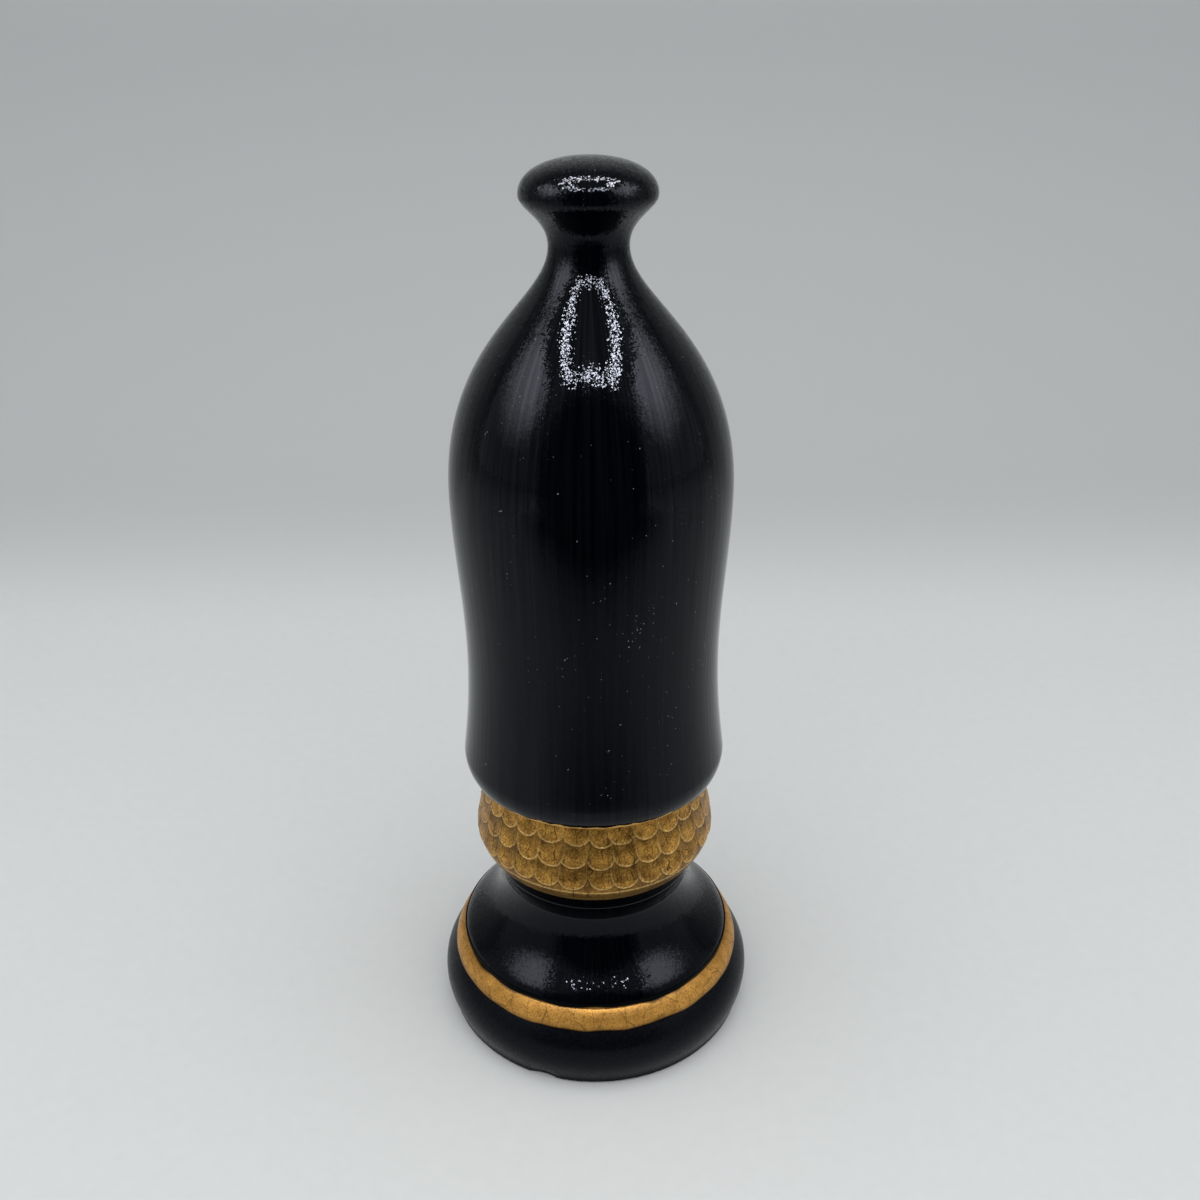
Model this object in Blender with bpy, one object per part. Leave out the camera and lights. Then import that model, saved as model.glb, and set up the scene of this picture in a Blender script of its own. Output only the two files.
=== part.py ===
"""A large decorative chess pawn: a cloaked, bell-shaped body over a skirt of gold scales.

The pawn is a stack of turned and cast pieces that plug into each other and are glued.
From the table up: felt pad, plug, foot, gold band, pedestal, scale skirt and cloak,
with an iron slug inside the pedestal. The stack's axis is Z, and the table is at Z = 0.
"""

import math

import bpy
from mathutils import Vector
from mathutils.geometry import interpolate_bezier

MM = 0.001

# The whole pawn, and its fits
PAWN_HEIGHT = 165.0 * MM
CLEARANCE = 0.3 * MM
SAME_POINT = 0.01 * MM

# Felt pad and plug under the foot
FELT_THICKNESS = 1.3 * MM
FELT_PROUD = 0.5 * MM
FELT_MARGIN = 1.8 * MM
PLUG_THICKNESS = 2.8 * MM
PLUG_LEDGE = 5.0 * MM

# Iron slug that weights the base
SLUG_DIAMETER = 20.6 * MM
SLUG_LENGTH = 34.0 * MM

# Foot
FOOT_HEIGHT = 11.6 * MM
FOOT_DIAMETER = 62.6 * MM
FOOT_BASE_DIAMETER = 60.0 * MM
FOOT_BELLY_HEIGHT = 5.9 * MM

# Gold band round the base
BAND_HEIGHT = 3.4 * MM
BAND_TOP_DIAMETER = 53.8 * MM
BAND_SPREAD = 2.0 * MM
BAND_LEDGE = 1.4 * MM
BAND_CROWN = 0.2 * MM

# Pedestal
SPIGOT_WALL = 3.4 * MM
FLARE_HEIGHT = 14.1 * MM
STEM_DIAMETER = 36.8 * MM
COLLAR_HEIGHT = 6.3 * MM
COLLAR_LEDGE = 4.4 * MM
COLLAR_ROUND = 0.8 * MM
DRUM_WALL = 4.4 * MM
DRUM_REGISTER = 8.0 * MM

# Skirt of gold scales
SKIRT_HEIGHT = 17.4 * MM
SKIRT_TOP_DIAMETER = 41.2 * MM
SKIRT_DIAMETER = 46.0 * MM
SKIRT_LIP_DIAMETER = 42.0 * MM
SKIRT_BELLY_HEIGHT = 5.4 * MM
SCALE_COUNT = 29
SCALE_PITCH = 4.8 * MM
SCALE_DEPTH = 3.7 * MM
SCALE_RIM = 0.55 * MM
SCALE_RELIEF = 0.4 * MM
LOWEST_SCALE = 3.4 * MM

# Cloak with its knob
HEM_DIAMETER = 48.9 * MM
HEM_ROLL = 1.7 * MM
HEM_HEIGHT = 4.2 * MM
WAIST_DIAMETER = 45.6 * MM
HEM_TO_WAIST = 20.6 * MM
SHOULDER_DIAMETER = 48.8 * MM
WAIST_TO_SHOULDER = 31.1 * MM
NECK_DIAMETER = 12.9 * MM
KNOB_DIAMETER = 21.8 * MM
NECK_TO_KNOB = 8.4 * MM
KNOB_TO_CROWN = 5.1 * MM
CROWN_THICKNESS = 12.0 * MM

# Fullness of the curves: the share of a stretch that each end's handle takes
CROWN_FULLNESS = (0.54, 0.60)
KNOB_TO_NECK_FULLNESS = (0.38, 0.54)
NECK_TO_SHOULDER_FULLNESS = (0.22, 0.64)
SHOULDER_TO_WAIST_FULLNESS = (0.32, 0.37)
WAIST_TO_HEM_FULLNESS = (0.55, 0.05)
HEM_FULLNESS = (0.60, 0.30)
DOME_FULLNESS = 0.55
FLARE_FULLNESS = (0.65, 0.21)
COLLAR_FULLNESS = 0.55
FOOT_TOP_FULLNESS = (0.55, 0.45)
FOOT_BASE_FULLNESS = (0.50, 0.25)
BEAD_FULLNESS = 0.12
LIP_TAPER = 2.6
SCALE_ROUNDNESS = 2.4

# The middle of a curve reaches this share of the way to its two handles
SWEEP_REACH = 0.75

# Smoothness of the round pieces
TURN_STEPS = 48
SCALE_STEPS = 6
CREASE = math.radians(38)

# Radii that the pieces share where they plug together
slug_bore = SLUG_DIAMETER / 2 + CLEARANCE
spigot_radius = slug_bore + SPIGOT_WALL
spigot_bore = spigot_radius + CLEARANCE
drum_radius = slug_bore + DRUM_WALL
drum_bore = drum_radius + CLEARANCE
plug_recess = spigot_bore + PLUG_LEDGE
felt_recess = FOOT_BASE_DIAMETER / 2 - FELT_MARGIN
band_top_radius = BAND_TOP_DIAMETER / 2
band_bottom_radius = band_top_radius + BAND_SPREAD
band_bore = band_top_radius - BAND_LEDGE

# Levels of the stack, each one worked out from the level below
plug_level = FELT_THICKNESS + CLEARANCE
spigot_level = plug_level + PLUG_THICKNESS + CLEARANCE
foot_top = FELT_PROUD + FOOT_HEIGHT
band_level = foot_top + CLEARANCE
flare_level = band_level + BAND_HEIGHT + CLEARANCE
flare_top = flare_level + FLARE_HEIGHT
collar_top = flare_top + COLLAR_HEIGHT
skirt_level = collar_top + CLEARANCE
cloak_level = skirt_level + SKIRT_HEIGHT + CLEARANCE
drum_top = cloak_level + DRUM_REGISTER


def clear_scene():
    for item in list(bpy.data.objects):
        bpy.data.objects.remove(item, do_unlink=True)


def finish(name, colour, roughness, metallic=0.0):
    """A plain surface finish, named for what it is."""
    material = bpy.data.materials.new(name)
    material.use_nodes = True
    shader = material.node_tree.nodes["Principled BSDF"]
    shader.inputs["Base Color"].default_value = (*colour, 1.0)
    shader.inputs["Roughness"].default_value = roughness
    shader.inputs["Metallic"].default_value = metallic
    return material


def sweep(start, start_pull, end, end_pull, steps):
    """Points of a smooth curve between two points; a pull is the offset of that end's handle."""
    start = Vector(start)
    end = Vector(end)
    start_handle = start + Vector(start_pull)
    end_handle = end + Vector(end_pull)
    return [tuple(point) for point in interpolate_bezier(start, start_handle, end_handle, end, steps + 1)]


def upright_sweep(upper, lower, fullness, steps):
    """A sweep that is upright at both ends, as at a widest or a narrowest place."""
    height = upper[1] - lower[1]
    return sweep(upper, (0.0, -fullness[0] * height), lower, (0.0, fullness[1] * height), steps)


def joined(*runs):
    """One outline from several runs, without the points that two runs share."""
    outline = []
    for run in runs:
        for point in run:
            if not outline or math.dist(outline[-1], point) > SAME_POINT:
                outline.append(point)
    return outline


def placed(name, mesh, level, material):
    """A node of the pawn at its level, shaded smooth with its edges kept crisp."""
    mesh.name = name
    mesh.shade_smooth()
    mesh.set_sharp_from_angle(angle=CREASE)
    mesh.materials.append(material)
    node = bpy.data.objects.new(name, mesh)
    node.location.z = level
    bpy.context.scene.collection.objects.link(node)
    return node


def turned(name, outline, level, material):
    """Turn an outline of (radius, height) points, which runs down its outer side, round Z."""
    count = len(outline)
    edges = [(i, i + 1) for i in range(count - 1)]
    if outline[0][0] > 0.0:
        edges.append((count - 1, 0))
    profile_mesh = bpy.data.meshes.new(name + "_profile")
    profile_mesh.from_pydata([(radius, 0.0, height) for radius, height in outline], edges, [])
    profile = bpy.data.objects.new(name + "_profile", profile_mesh)
    bpy.context.scene.collection.objects.link(profile)
    screw = profile.modifiers.new("Turn", "SCREW")
    screw.axis = "Z"
    screw.angle = math.tau
    screw.steps = TURN_STEPS
    screw.render_steps = TURN_STEPS
    screw.use_merge_vertices = True
    screw.merge_threshold = SAME_POINT
    depsgraph = bpy.context.evaluated_depsgraph_get()
    mesh = bpy.data.meshes.new_from_object(profile.evaluated_get(depsgraph))
    bpy.data.objects.remove(profile, do_unlink=True)
    return placed(name, mesh, level, material)


def make_disc(name, radius, thickness, level, material):
    """A plain round piece: the felt pad, the plug or the slug."""
    outline = [(0.0, thickness), (radius, thickness), (radius, 0.0), (0.0, 0.0)]
    return turned(name, outline, level, material)


def make_felt_pad():
    felt = finish("green_felt", (0.010, 0.030, 0.018), 0.95)
    return make_disc("felt_pad", felt_recess - CLEARANCE, FELT_THICKNESS, 0.0, felt)


def make_base_plug():
    cork = finish("pressed_cork", (0.330, 0.190, 0.095), 0.9)
    return make_disc("base_plug", plug_recess - CLEARANCE, PLUG_THICKNESS, plug_level, cork)


def make_ballast_slug():
    iron = finish("cast_iron", (0.060, 0.058, 0.056), 0.6, 0.9)
    return make_disc("ballast_slug", SLUG_DIAMETER / 2, SLUG_LENGTH, spigot_level, iron)


def make_foot():
    """The black plinth: a rounded ring with a seat for the band and recesses underneath."""
    belly = (FOOT_DIAMETER / 2, FOOT_BELLY_HEIGHT)
    seat_edge = (band_bottom_radius, FOOT_HEIGHT)
    base_edge = (FOOT_BASE_DIAMETER / 2, 0.0)
    upper = FOOT_HEIGHT - FOOT_BELLY_HEIGHT
    seat_pull = (FOOT_TOP_FULLNESS[0] * (belly[0] - seat_edge[0]), -FOOT_TOP_FULLNESS[0] * upper / 2)
    felt_roof = plug_level - FELT_PROUD
    plug_roof = spigot_level - FELT_PROUD
    outline = joined(
        [(spigot_bore, FOOT_HEIGHT)],
        sweep(seat_edge, seat_pull, belly, (0.0, FOOT_TOP_FULLNESS[1] * upper), 5),
        upright_sweep(belly, base_edge, FOOT_BASE_FULLNESS, 4),
        [(felt_recess, 0.0), (felt_recess, felt_roof), (plug_recess, felt_roof)],
        [(plug_recess, plug_roof), (spigot_bore, plug_roof)],
    )
    return turned("foot", outline, FELT_PROUD, finish("black_glaze_satin", (0.006, 0.007, 0.008), 0.3))


def make_base_band():
    """The gold bead, trapped between the foot below and the flare above."""
    top_edge = Vector((band_top_radius, BAND_HEIGHT))
    bottom_edge = Vector((band_bottom_radius, 0.0))
    down = bottom_edge - top_edge
    outward = Vector((-down.y, down.x)).normalized() * BAND_CROWN / SWEEP_REACH
    bead = sweep(top_edge, outward + down * BEAD_FULLNESS, bottom_edge, outward - down * BEAD_FULLNESS, 6)
    outline = joined([(band_bore, BAND_HEIGHT)], bead, [(band_bore, 0.0)])
    return turned("base_band", outline, band_level, finish("gold_paint", (0.420, 0.235, 0.055), 0.35, 0.8))


def make_pedestal():
    """The flared stand: a spigot below for the foot, a drum above for the skirt and the cloak."""
    base = spigot_level
    stem = STEM_DIAMETER / 2
    collar = drum_radius + COLLAR_LEDGE
    collar_edge = (collar - COLLAR_ROUND, collar_top - base)
    collar_middle = (collar, (collar_top + flare_top) / 2 - base)
    stem_foot = (stem, flare_top - base)
    flare_foot = (band_top_radius, flare_level - base)
    flange = band_bore - CLEARANCE
    seat = band_level - base
    top = drum_top - base
    slug_roof = SLUG_LENGTH + CLEARANCE
    collar_pull = COLLAR_FULLNESS * COLLAR_HEIGHT / 2
    under_pull = (COLLAR_FULLNESS * (collar - stem), 0.0)
    outline = joined(
        [(0.0, top), (drum_radius - CLEARANCE, top), (drum_radius, top - CLEARANCE)],
        [(drum_radius, collar_top - base)],
        sweep(collar_edge, (COLLAR_ROUND, 0.0), collar_middle, (0.0, collar_pull), 3),
        sweep(collar_middle, (0.0, -collar_pull), stem_foot, under_pull, 3),
        upright_sweep(stem_foot, flare_foot, FLARE_FULLNESS, 9),
        [(flange, flare_level - base), (flange, seat), (spigot_radius, seat)],
        [(spigot_radius, 0.0), (slug_bore, 0.0), (slug_bore, slug_roof), (0.0, slug_roof)],
    )
    return turned("pedestal", outline, base, finish("black_glaze_gloss", (0.005, 0.005, 0.006), 0.12))


def skirt_radius(height):
    """The plain skirt, without its scales: its radius at a height above its underside."""
    belly = SKIRT_DIAMETER / 2
    if height >= SKIRT_BELLY_HEIGHT:
        share = (height - SKIRT_BELLY_HEIGHT) / (SKIRT_HEIGHT - SKIRT_BELLY_HEIGHT)
        return belly + (SKIRT_TOP_DIAMETER / 2 - belly) * share
    share = 1.0 - height / SKIRT_BELLY_HEIGHT
    return belly + (SKIRT_LIP_DIAMETER / 2 - belly) * share ** LIP_TAPER


def skirt_column(across, rows):
    """One upright outline of the skirt; across runs from -0.5 to 0.5 over the width of a scale."""
    column = [(skirt_radius(SKIRT_HEIGHT), SKIRT_HEIGHT)]
    rise = SCALE_DEPTH * abs(2.0 * across) ** SCALE_ROUNDNESS
    for row in reversed(range(rows)):
        edge = LOWEST_SCALE + row * SCALE_PITCH + rise
        column.append((skirt_radius(edge + SCALE_RIM), edge + SCALE_RIM))
        column.append((skirt_radius(edge) + SCALE_RELIEF, edge))
        column.append((skirt_radius(edge - SCALE_RIM), edge - SCALE_RIM))
    rim = LOWEST_SCALE - 2.0 * SCALE_RIM
    for height in (rim, rim / 2, rim / 5):
        column.append((skirt_radius(height), height))
    column.append((SKIRT_LIP_DIAMETER / 2 - SCALE_RIM, 0.0))
    column.append((drum_bore, 0.0))
    column.append((drum_bore, SKIRT_HEIGHT))
    return column


def make_scale_skirt():
    """The ring of overlapping scales, laid out column by column round the axis."""
    free_height = SKIRT_HEIGHT - LOWEST_SCALE - SCALE_DEPTH - SCALE_RIM
    rows = 1 + int(free_height / SCALE_PITCH)
    columns = SCALE_COUNT * SCALE_STEPS
    vertices = []
    for i in range(columns):
        turn = math.tau * i / columns - math.pi / 2
        step = i % SCALE_STEPS
        across = (step if step <= SCALE_STEPS / 2 else step - SCALE_STEPS) / SCALE_STEPS
        for radius, height in skirt_column(across, rows):
            vertices.append((radius * math.cos(turn), radius * math.sin(turn), height))
    length = len(vertices) // columns
    faces = []
    for i in range(columns):
        here = i * length
        there = (i + 1) % columns * length
        for j in range(length):
            below = (j + 1) % length
            faces.append((here + j, here + below, there + below, there + j))
    mesh = bpy.data.meshes.new("scale_skirt")
    mesh.from_pydata(vertices, [], faces)
    gold = finish("antique_gold", (0.300, 0.165, 0.045), 0.42, 0.75)
    return placed("scale_skirt", mesh, skirt_level, gold)


def make_cloak():
    """The bell-shaped cloak, hollow from below, with the knob on its neck."""
    hem = (HEM_DIAMETER / 2, HEM_HEIGHT)
    waist = (WAIST_DIAMETER / 2, hem[1] + HEM_TO_WAIST)
    shoulder = (SHOULDER_DIAMETER / 2, waist[1] + WAIST_TO_SHOULDER)
    crown = (0.0, PAWN_HEIGHT - cloak_level)
    knob = (KNOB_DIAMETER / 2, crown[1] - KNOB_TO_CROWN)
    neck = (NECK_DIAMETER / 2, knob[1] - NECK_TO_KNOB)
    hem_edge = (hem[0] - HEM_ROLL, 0.0)
    spring = (drum_bore, shoulder[1])
    roof = (0.0, neck[1] - CROWN_THICKNESS)
    crown_pull = (CROWN_FULLNESS[0] * knob[0], 0.0)
    knob_pull = (0.0, CROWN_FULLNESS[1] * KNOB_TO_CROWN)
    hem_pull = (0.0, -HEM_FULLNESS[0] * HEM_HEIGHT)
    edge_pull = (HEM_FULLNESS[1] * HEM_ROLL, 0.0)
    spring_pull = (0.0, DOME_FULLNESS * (roof[1] - spring[1]))
    roof_pull = (DOME_FULLNESS * spring[0], 0.0)
    outline = joined(
        sweep(crown, crown_pull, knob, knob_pull, 5),
        upright_sweep(knob, neck, KNOB_TO_NECK_FULLNESS, 6),
        upright_sweep(neck, shoulder, NECK_TO_SHOULDER_FULLNESS, 10),
        upright_sweep(shoulder, waist, SHOULDER_TO_WAIST_FULLNESS, 6),
        upright_sweep(waist, hem, WAIST_TO_HEM_FULLNESS, 5),
        sweep(hem, hem_pull, hem_edge, edge_pull, 4),
        [(drum_bore, 0.0)],
        sweep(spring, spring_pull, roof, roof_pull, 5),
    )
    return turned("cloak", outline, cloak_level, finish("black_glaze_cloak", (0.005, 0.005, 0.006), 0.12))


def build():
    clear_scene()
    pawn = bpy.data.objects.new("pawn", None)
    bpy.context.scene.collection.objects.link(pawn)
    pieces = [
        make_felt_pad(),
        make_base_plug(),
        make_ballast_slug(),
        make_foot(),
        make_base_band(),
        make_pedestal(),
        make_scale_skirt(),
        make_cloak(),
    ]
    for piece in pieces:
        piece.parent = pawn


build()
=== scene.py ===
# %% [markdown]
# # A black and gold chess pawn
# The real pawn is a tall ceramic piece, cast, brushed with black gloss and picked out in gold.
# Its solids, from the felt pad up to the knob, are the fixed frame of this lesson. Each piece
# that shows is modelled again here with a finer surface, and gets the finish of the real one.

# %% Load the frame
import functools
import math
import random

import bpy
from mathutils import Matrix, Vector
from mathutils.geometry import interpolate_bezier


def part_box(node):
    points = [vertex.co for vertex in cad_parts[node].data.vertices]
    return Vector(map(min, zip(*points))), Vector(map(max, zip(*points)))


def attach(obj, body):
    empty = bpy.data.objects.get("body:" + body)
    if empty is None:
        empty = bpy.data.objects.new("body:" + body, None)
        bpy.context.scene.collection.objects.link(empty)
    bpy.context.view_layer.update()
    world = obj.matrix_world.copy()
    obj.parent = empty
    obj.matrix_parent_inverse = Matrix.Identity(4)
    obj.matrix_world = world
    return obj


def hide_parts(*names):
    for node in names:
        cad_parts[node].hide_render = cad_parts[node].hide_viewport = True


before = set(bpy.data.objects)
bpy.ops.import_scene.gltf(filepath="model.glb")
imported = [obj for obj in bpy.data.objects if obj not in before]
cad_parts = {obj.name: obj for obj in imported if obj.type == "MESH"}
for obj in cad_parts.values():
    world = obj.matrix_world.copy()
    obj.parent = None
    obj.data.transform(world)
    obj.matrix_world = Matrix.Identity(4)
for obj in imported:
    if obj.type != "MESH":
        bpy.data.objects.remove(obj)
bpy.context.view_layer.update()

MM = 0.001
for node_name in sorted(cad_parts):
    low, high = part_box(node_name)
    heights = f"{low.z / MM:.1f} to {high.z / MM:.1f} mm up"
    print(f"{node_name}: {heights}, {2 * high.x / MM:.1f} mm across")

# %% [markdown]
# ## The camera
# The photograph was taken from close by with a wide lens, from a little above the knob, so the
# pawn narrows towards the table. The place and the pitch below were found from the ovals of the
# hem, the band and the foot, which are level circles on the real pawn.

# %% Set up the camera
FRAME_PIXELS = 1200
CAMERA_PLACE = Vector((0.0, -197.8, 182.8)) * MM
CAMERA_PITCH = math.radians(25.5)
CAMERA_ROLL = math.radians(-0.57)
CAMERA_LENS = 36.0
SENSOR_WIDTH = 36.0
NEAREST_SEEN = 10 * MM
AXIS_OFFSET_PIXELS = 7.7

bpy.ops.object.select_all(action="DESELECT")
bpy.ops.object.camera_add()
camera = bpy.context.object
camera.name = "camera"
camera.data.sensor_width = SENSOR_WIDTH
camera.data.lens = CAMERA_LENS
camera.data.shift_x = AXIS_OFFSET_PIXELS / FRAME_PIXELS
camera.data.clip_start = NEAREST_SEEN
aim = Matrix.Rotation(math.pi / 2 - CAMERA_PITCH, 4, "X") @ Matrix.Rotation(CAMERA_ROLL, 4, "Z")
camera.matrix_world = Matrix.Translation(CAMERA_PLACE) @ aim
bpy.context.scene.camera = camera
print(f"camera {CAMERA_PLACE.length / MM:.0f} mm from the foot of the pawn")

# %% [markdown]
# ## A lathe
# Most of the pawn is round. A potter would throw it or turn it against a template, and the same
# works here: half of the outline is drawn by extruding one corner from point to point, and Spin
# carries it once round the upright axis. Doubles are merged before the normals are turned
# outwards, so the seam and the poles are closed.

# %% Helpers for curves
WELD = 0.004 * MM
STRAIGHT_STEPS = 8


def sweep(start, start_pull, end, end_pull, steps):
    """Points of a smooth curve; a pull is the offset of that end's handle."""
    start = Vector(start)
    end = Vector(end)
    handles = (start + Vector(start_pull), end + Vector(end_pull))
    return [tuple(point) for point in interpolate_bezier(start, *handles, end, steps + 1)]


def upright_sweep(upper, lower, fullness, steps):
    """A curve that is upright at both ends, as at a widest or a narrowest place."""
    height = upper[1] - lower[1]
    return sweep(upper, (0.0, -fullness[0] * height), lower, (0.0, fullness[1] * height), steps)


def quarter_sweep(level_end, upright_end, fullness, steps):
    """A curve that is level at its first end and upright at its second, as round a corner."""
    across = upright_end[0] - level_end[0]
    rise = level_end[1] - upright_end[1]
    return sweep(level_end, (fullness[0] * across, 0.0), upright_end, (0.0, fullness[1] * rise), steps)


def straight(start, end):
    """A straight run with points of its own, so that smooth shading keeps it straight."""
    return sweep(start, (0.0, 0.0), end, (0.0, 0.0), STRAIGHT_STEPS)


def joined(*runs):
    """One outline from several runs, without the points that two runs share."""
    outline = []
    for run in runs:
        for point in run:
            if not outline or math.dist(outline[-1], point) > WELD:
                outline.append(point)
    return outline


# %% Helpers for the lathe
TURN_STEPS = 168
CREASE = math.radians(35)


def weld_and_smooth(piece):
    """Close the seams of a new piece, turn its faces outwards and shade it."""
    bpy.ops.object.mode_set(mode="EDIT")
    bpy.ops.mesh.select_all(action="SELECT")
    bpy.ops.mesh.remove_doubles(threshold=WELD)
    bpy.ops.mesh.normals_make_consistent(inside=False)
    bpy.ops.object.mode_set(mode="OBJECT")
    bpy.ops.object.shade_smooth_by_angle(angle=CREASE)
    print(f"{piece.name}: {len(piece.data.vertices)} corners, {len(piece.data.polygons)} faces")


def turn(name, outline):
    """Draw an outline of (radius, height) points and spin it round the upright axis."""
    corners = [Vector((radius, 0.0, height)) for radius, height in outline]
    bpy.ops.object.select_all(action="DESELECT")
    bpy.ops.mesh.primitive_plane_add(size=MM)
    piece = bpy.context.object
    piece.name = name
    bpy.ops.object.mode_set(mode="EDIT")
    bpy.ops.mesh.merge(type="CENTER")
    bpy.ops.transform.translate(value=corners[0])
    for here, there in zip(corners, corners[1:]):
        bpy.ops.mesh.extrude_region_move(TRANSFORM_OT_translate={"value": there - here})
    bpy.ops.mesh.select_all(action="SELECT")
    bpy.ops.mesh.spin(steps=TURN_STEPS, angle=math.tau, center=(0, 0, 0), axis=(0, 0, 1))
    bpy.ops.object.mode_set(mode="OBJECT")
    weld_and_smooth(piece)
    return piece


# %% [markdown]
# ## The cloak
# The cloak is the black bell with its knob. Its outline swings between a few places that can be
# measured: the crown, the widest part of the knob, the neck, the shoulder, the waist and the
# hem. Between two of them runs one curve, which is upright where the outline is widest or
# narrowest.

# %% Model the cloak
KNOB_RADIUS = 11.2 * MM
KNOB_TO_CROWN = 5.75 * MM
NECK_RADIUS = 6.62 * MM
NECK_TO_KNOB = 7.75 * MM
SHOULDER_RADIUS = 24.8 * MM
WAIST_RADIUS = 23.25 * MM
HEM_FLARE = 0.35 * MM
HEM_HEIGHT = 4.2 * MM
HEM_ROLL = 1.7 * MM
HEM_TO_WAIST = 20.6 * MM
WAIST_TO_SHOULDER = 31.1 * MM
DRUM_BORE = 15.3 * MM
CROWN_THICKNESS = 12.0 * MM
# How far a curve's two handles reach, as shares of its height or width, and its steps
CROWN_CURVE = (0.536, 0.66), 22
KNOB_CURVE = (0.28, 0.54), 20
BELL_CURVE = (0.22, 0.64), 44
FLANK_CURVE = (0.32, 0.37), 26
WAIST_CURVE = (0.55, 0.05), 18
HEM_CURVE = (0.30, 0.60), 12
DOME_CURVE = (0.55, 0.55), 8

cloak_low, cloak_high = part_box("cloak")
crown = (0.0, cloak_high.z)
knob = (KNOB_RADIUS, crown[1] - KNOB_TO_CROWN)
neck = (NECK_RADIUS, knob[1] - NECK_TO_KNOB)
hem = (cloak_high.x + HEM_FLARE, cloak_low.z + HEM_HEIGHT)
waist = (WAIST_RADIUS, hem[1] + HEM_TO_WAIST)
shoulder = (SHOULDER_RADIUS, waist[1] + WAIST_TO_SHOULDER)
hem_edge = (hem[0] - HEM_ROLL, cloak_low.z)
spring = (DRUM_BORE, shoulder[1])
roof = (0.0, neck[1] - CROWN_THICKNESS)
cloak = turn("glazed_cloak", joined(
    quarter_sweep(crown, knob, *CROWN_CURVE),
    upright_sweep(knob, neck, *KNOB_CURVE),
    upright_sweep(neck, shoulder, *BELL_CURVE),
    upright_sweep(shoulder, waist, *FLANK_CURVE),
    upright_sweep(waist, hem, *WAIST_CURVE),
    reversed(quarter_sweep(hem_edge, hem, *HEM_CURVE)),
    [(DRUM_BORE, cloak_low.z)],
    reversed(quarter_sweep(roof, spring, *DOME_CURVE)),
))

# %% [markdown]
# ## The pedestal
# Below the skirt the stand narrows to a short stem and flares out to the gold band. A drum on
# top of it carries the skirt and reaches into the cloak, and a spigot below sits in the foot.

# %% Model the pedestal
FLARE_HEIGHT = 14.1 * MM
STEM_RADIUS = 18.5 * MM
COLLAR_HEIGHT = 6.3 * MM
COLLAR_RADIUS = 20.3 * MM
COLLAR_ROUND = 0.2 * MM
RIDGE_RADIUS = 19.45 * MM
RIDGE_HEIGHT = 3.3 * MM
RIDGE_WIDTH = 0.12 * MM
DRUM_RADIUS = 15.0 * MM
SPIGOT_RADIUS = 14.0 * MM
SLUG_BORE = 10.6 * MM
FLANGE_INSET = 1.7 * MM
FLARE_CURVE = (0.69, 0.23), 40
GLUE_GAP = 0.3 * MM

pedestal_low, pedestal_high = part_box("pedestal")
band_low, band_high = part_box("base_band")
slug_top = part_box("ballast_slug")[1].z
flare_foot = (pedestal_high.x, band_high.z + GLUE_GAP)
stem_foot = (STEM_RADIUS, flare_foot[1] + FLARE_HEIGHT)
collar_top = stem_foot[1] + COLLAR_HEIGHT
ridge_foot = (RIDGE_RADIUS, stem_foot[1] + RIDGE_HEIGHT)
ridge_top = (RIDGE_RADIUS, ridge_foot[1] + RIDGE_WIDTH)
flange = pedestal_high.x - FLANGE_INSET
pocket_top = slug_top + GLUE_GAP
pedestal = turn("glazed_pedestal", joined(
    [(0.0, pedestal_high.z), (DRUM_RADIUS - GLUE_GAP, pedestal_high.z)],
    [(DRUM_RADIUS, pedestal_high.z - GLUE_GAP), (DRUM_RADIUS, collar_top)],
    [(COLLAR_RADIUS - COLLAR_ROUND, collar_top)],
    straight((COLLAR_RADIUS, collar_top - COLLAR_ROUND), ridge_top),
    straight(ridge_foot, stem_foot),
    upright_sweep(stem_foot, flare_foot, *FLARE_CURVE),
    [(flange, flare_foot[1]), (flange, band_low.z), (SPIGOT_RADIUS, band_low.z)],
    [(SPIGOT_RADIUS, pedestal_low.z), (SLUG_BORE, pedestal_low.z)],
    [(SLUG_BORE, pocket_top), (0.0, pocket_top)],
))

# %% [markdown]
# ## The foot
# The foot is a rounded ring that rolls in towards the table. Underneath it is stepped for the
# cork plug and for the felt, which stands a little proud so that the glaze never touches wood.

# %% Model the foot
FOOT_BASE_RADIUS = 30.0 * MM
FOOT_BELLY_HEIGHT = 5.9 * MM
FELT_MARGIN = 1.8 * MM
SEAT_WIDTH = 2.0 * MM
SEAT_SLOPE = 0.5
SEAT_FULLNESS = 0.55
BELLY_FULLNESS = 0.45
SEAT_STEPS = 22
ROLL_CURVE = (0.50, 0.25), 18

foot_low, foot_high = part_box("foot")
felt_low, felt_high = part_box("felt_pad")
plug_low, plug_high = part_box("base_plug")
belly = (foot_high.x, foot_low.z + FOOT_BELLY_HEIGHT)
seat_edge = (pedestal_high.x + SEAT_WIDTH, foot_high.z)
base_edge = (FOOT_BASE_RADIUS, foot_low.z)
seat_drop = seat_edge[1] - belly[1]
seat_pull = SEAT_FULLNESS * Vector((belly[0] - seat_edge[0], -SEAT_SLOPE * seat_drop))
felt_recess = FOOT_BASE_RADIUS - FELT_MARGIN
plug_recess = plug_high.x + GLUE_GAP
spigot_bore = SPIGOT_RADIUS + GLUE_GAP
foot_bore = [(spigot_bore, foot_high.z)]
foot = turn("satin_foot", joined(
    foot_bore,
    sweep(seat_edge, seat_pull, belly, (0.0, BELLY_FULLNESS * seat_drop), SEAT_STEPS),
    upright_sweep(belly, base_edge, *ROLL_CURVE),
    [(felt_recess, foot_low.z), (felt_recess, plug_low.z), (plug_recess, plug_low.z)],
    [(plug_recess, pedestal_low.z), (spigot_bore, pedestal_low.z)],
    foot_bore,
))

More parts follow.
